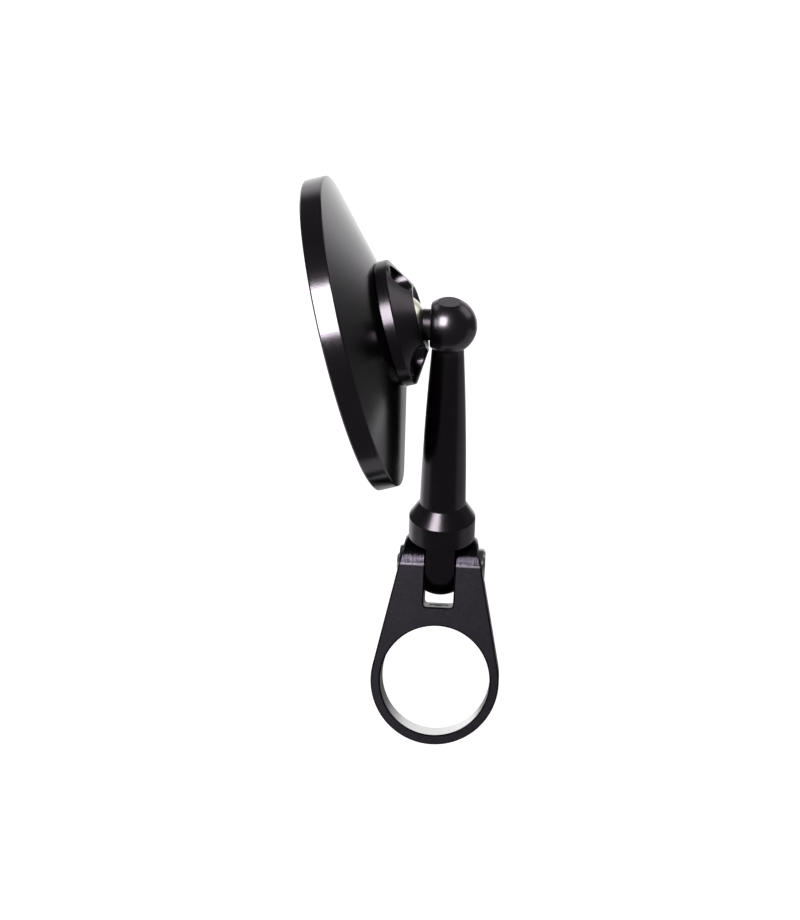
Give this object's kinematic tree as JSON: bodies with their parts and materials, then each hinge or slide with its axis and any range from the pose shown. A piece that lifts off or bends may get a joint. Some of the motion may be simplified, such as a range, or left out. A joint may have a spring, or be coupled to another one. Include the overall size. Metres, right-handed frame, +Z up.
{
  "type": "motorcycle bar end mirror",
  "caption": "Round bar end mirror: closed clamp ring with a fork, folding tapered stem and a convex mirror in a conical black housing on a ball joint.",
  "frame": {"origin": "centre of the clamp ring's bore, half way along it", "axes": "+Y along the bore the way the handlebar leaves, inboard; +Z up through the fork; +X along the fold pivot"},
  "size_m": [0.0424, 0.0624, 0.1133],
  "materials": {
    "black_anodised": "satin",
    "polished_steel": "polished",
    "zinc_steel": "satin",
    "black_steel": "matte",
    "nylon": "matte",
    "foam": "matte",
    "mirror": "polished"
  },
  "bodies": {
    "clamp": {"bar_clamp": "black_anodised", "bar_grub_screw": "black_steel", "pivot_bolt": "zinc_steel", "disc_spring": "zinc_steel", "pivot_nut": "zinc_steel"},
    "stem": {"stem": "black_anodised"},
    "stud": {"ball_stud": "polished_steel"},
    "seat": {"ball_seat": "nylon"},
    "mirror": {"mirror_housing": "black_anodised", "ball_retainer": "black_anodised", "retainer_screws": "black_steel", "mirror_glass": "mirror", "glass_tape": "foam"}
  },
  "joints": [
    {"name": "stem_fold", "type": "hinge", "parent": "clamp", "child": "stem", "pos_m": [0, 0, 0.02355], "axis": [1, 0, 0], "range_deg": [-117.2, 62.8]},
    {"name": "stud_swivel", "type": "hinge", "parent": "stem", "child": "stud", "pos_m": [-0.01019, -0.0249, 0.072], "axis": [1, 0, 0], "continuous": true},
    {"name": "mirror_tilt", "type": "hinge", "parent": "stud", "child": "seat", "pos_m": [-0.01019, -0.0249, 0.072], "axis": [0, -0.9583, -0.2857], "range_deg": [-33.8, 1.2]},
    {"name": "mirror_roll", "type": "hinge", "parent": "seat", "child": "mirror", "pos_m": [-0.01019, -0.0249, 0.072], "axis": [0.9598, -0.0802, 0.269], "continuous": true}
  ]
}
